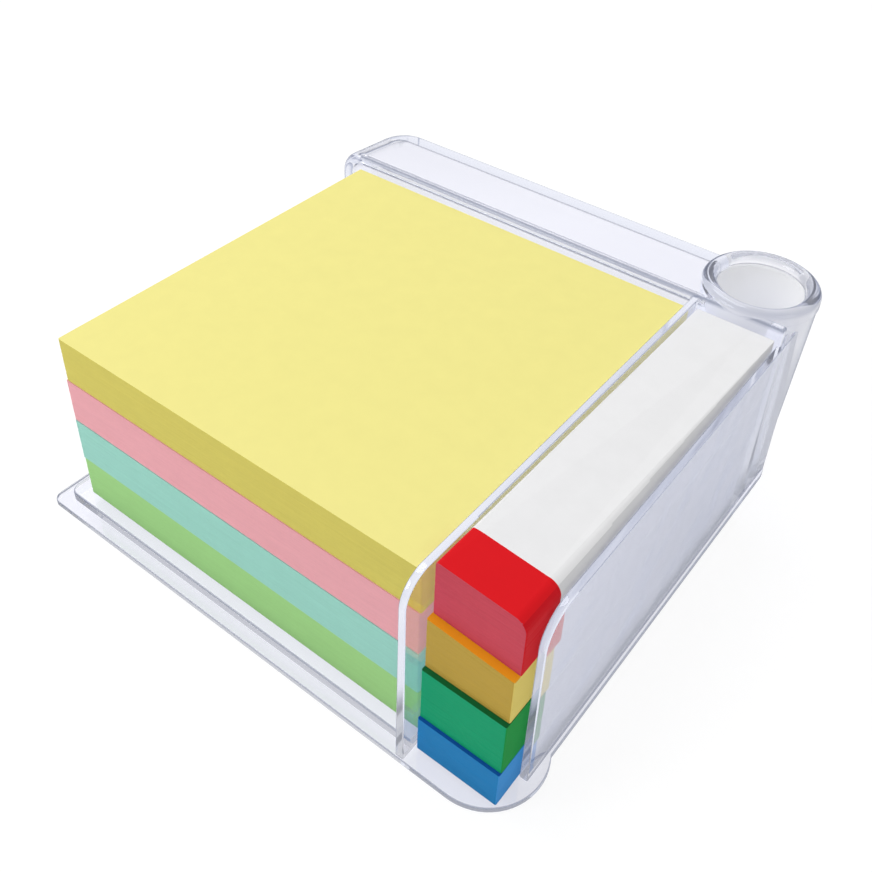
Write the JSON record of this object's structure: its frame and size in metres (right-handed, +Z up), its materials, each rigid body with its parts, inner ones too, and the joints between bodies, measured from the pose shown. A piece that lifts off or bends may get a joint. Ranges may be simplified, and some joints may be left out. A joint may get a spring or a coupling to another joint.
{
  "type": "sticky note dispenser",
  "caption": "Clear desk holder with a cube of sticky note pads, a column of page flags beside it and a round pen cup at the back corner.",
  "frame": {"origin": "middle of the footprint's bounding box, on the table under the base", "axes": "+Z up; +Y from the open front to the block and pen cup at the back; +X to the side of the page flags"},
  "size_m": [0.103, 0.1036, 0.042],
  "materials": {
    "clear_plastic": "clear, polished, faintly lavender at the edges",
    "yellow_paper": "matte, cut edges slightly darker",
    "pink_paper": "matte",
    "aqua_paper": "matte",
    "green_paper": "matte",
    "red_flag_paper": "matte, red at the tip and white behind it",
    "yellow_flag_paper": "matte, amber at the tip and white behind it",
    "green_flag_paper": "matte, green at the tip and white behind it",
    "blue_flag_paper": "matte, blue at the tip and white behind it"
  },
  "bodies": {
    "root": {"holder": "clear_plastic", "note_pad_yellow": "yellow_paper", "note_pad_pink": "pink_paper", "note_pad_aqua": "aqua_paper", "note_pad_green": "green_paper", "flag_pad_red": "red_flag_paper", "flag_pad_yellow": "yellow_flag_paper", "flag_pad_green": "green_flag_paper", "flag_pad_blue": "blue_flag_paper"}
  },
  "joints": []
}
